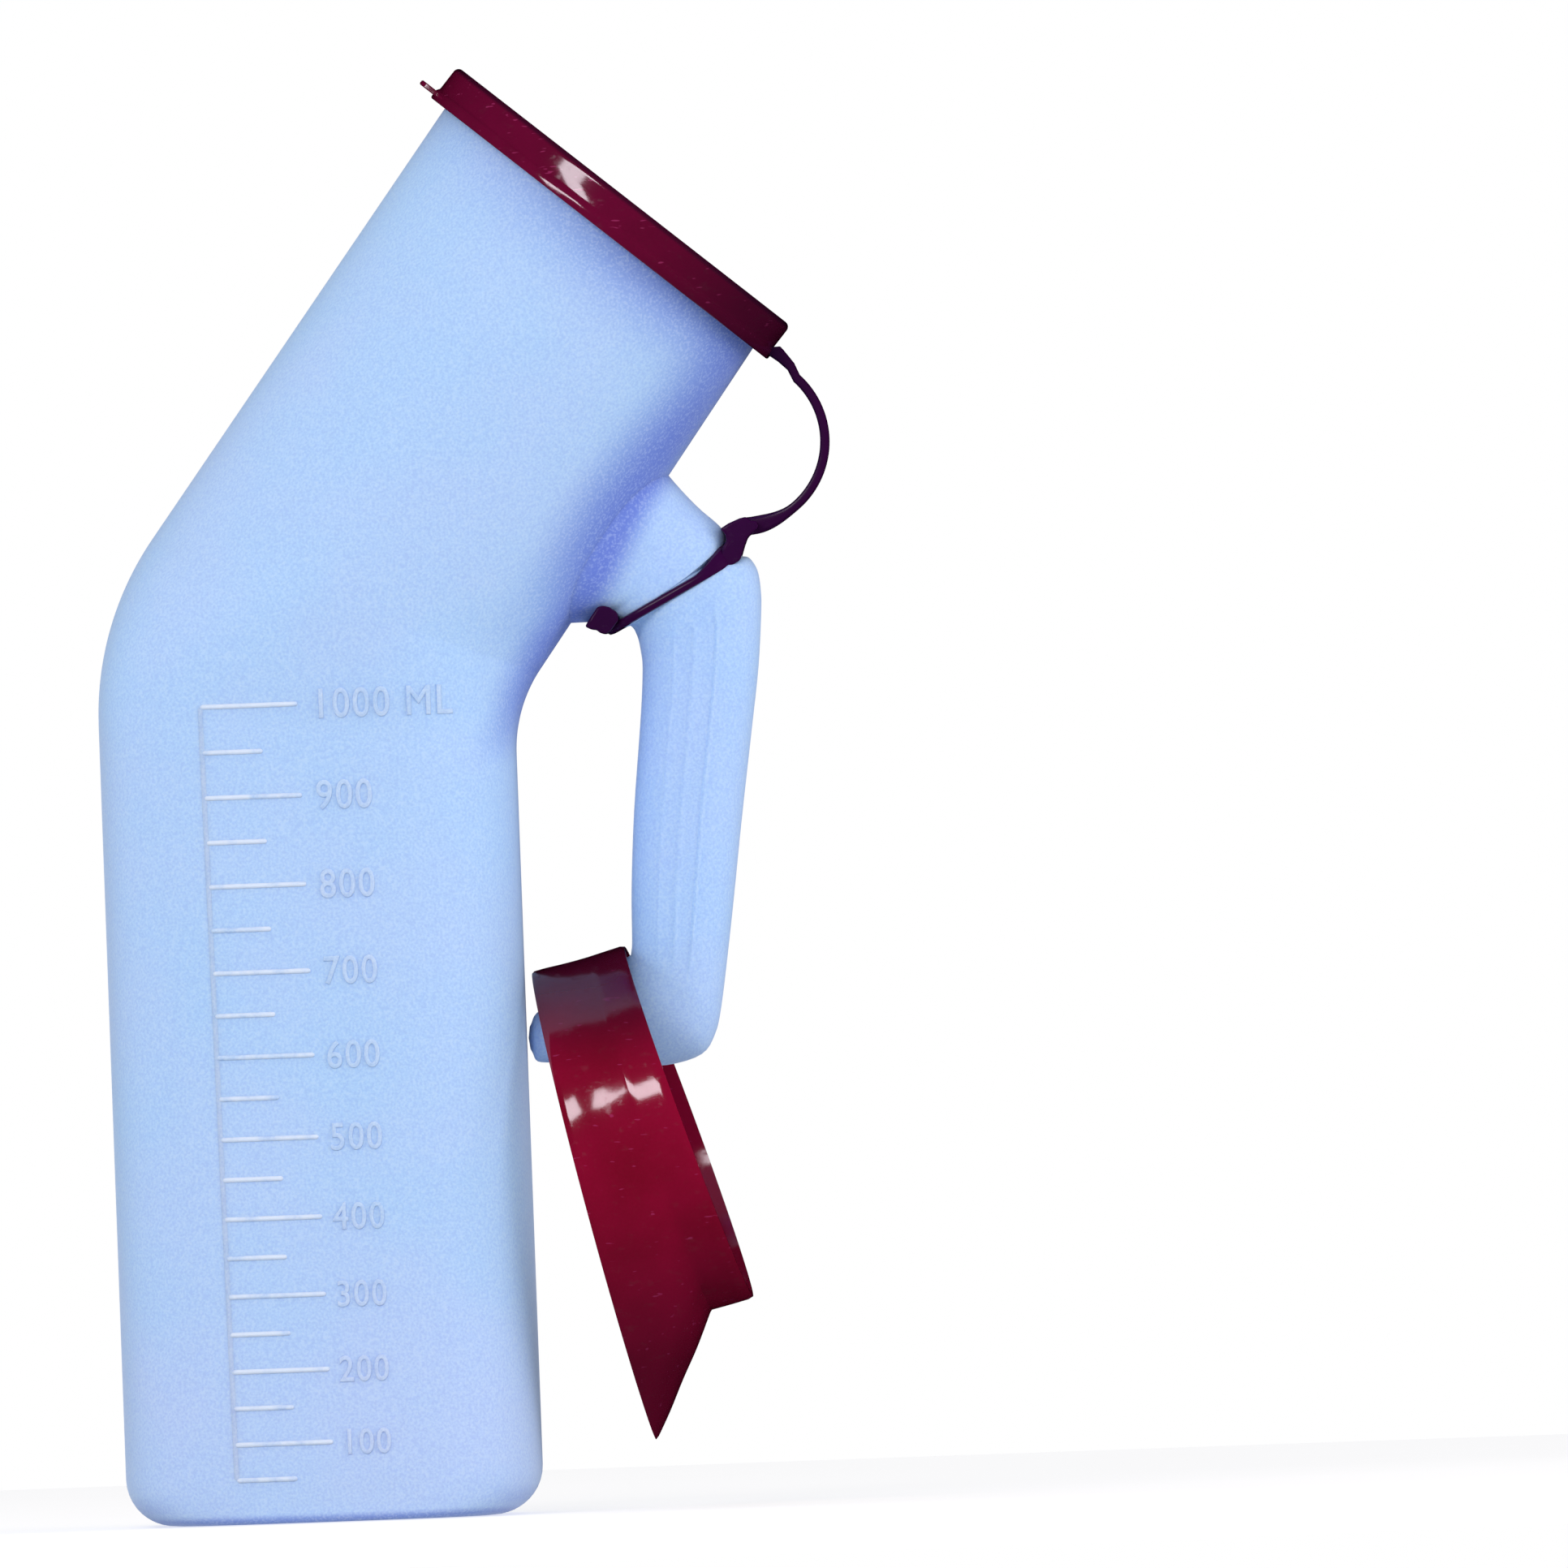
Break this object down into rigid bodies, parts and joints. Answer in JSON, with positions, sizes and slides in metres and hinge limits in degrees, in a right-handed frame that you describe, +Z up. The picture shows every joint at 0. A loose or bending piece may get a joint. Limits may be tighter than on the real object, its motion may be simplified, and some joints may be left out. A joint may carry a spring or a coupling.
{
  "type": "urine bottle",
  "caption": "Handheld urinal bottle with an upright barrel, bent round neck, raised fill scale, hollow hook handle, tethered snap lid and hanging adapter.",
  "frame": {"origin": "middle of the barrel's flat base, on the surface the bottle stands on", "axes": "+Z up along the barrel, +X towards the handle and the mouth, -Y the front with the fill scale"},
  "size_m": [0.1551, 0.091, 0.3027],
  "materials": {
    "milky_blue": "frosted, slightly translucent blow-moulded polyethylene",
    "crimson": "glossy injection-moulded crimson plastic"
  },
  "bodies": {
    "bottle": {"bottle_shell": "milky_blue", "bottle_floor": "milky_blue", "graduation_scale": "milky_blue", "handle": "milky_blue", "strap_collar": "crimson", "strap_collar_end": "crimson"},
    "strap_lower": {"strap_link_lower": "crimson"},
    "strap_upper": {"strap_link_upper": "crimson"},
    "lid": {"strap_lid_end": "crimson", "lid_cap": "crimson", "lid_seal_lip": "crimson", "lid_pull_tab": "crimson"},
    "adapter": {"adapter_collar": "crimson", "adapter_hood": "crimson"}
  },
  "joints": [
    {"name": "strap_bend_low", "type": "hinge", "parent": "bottle", "child": "strap_lower", "pos_m": [0.10444, 0, 0.20886], "axis": [0, 1, 0], "range_deg": [0, 55]},
    {"name": "strap_bend_middle", "type": "hinge", "parent": "strap_lower", "child": "strap_upper", "pos_m": [0.11067, 0, 0.22033], "axis": [0, 1, 0], "range_deg": [0, 55]},
    {"name": "lid_opening", "type": "hinge", "parent": "strap_upper", "child": "lid", "pos_m": [0.1074, 0, 0.23296], "axis": [0, 1, 0], "range_deg": [0, 55]},
    {"name": "adapter_swing", "type": "hinge", "parent": "bottle", "child": "adapter", "pos_m": [0.058, 0, 0.1029], "axis": [0.9508, -0.0207, 0.309], "range_deg": [-32, 32]}
  ],
  "couplings": [
    {"joint": "strap_bend_low", "follows": "lid_opening", "ratio": 1},
    {"joint": "strap_bend_middle", "follows": "lid_opening", "ratio": 1}
  ]
}
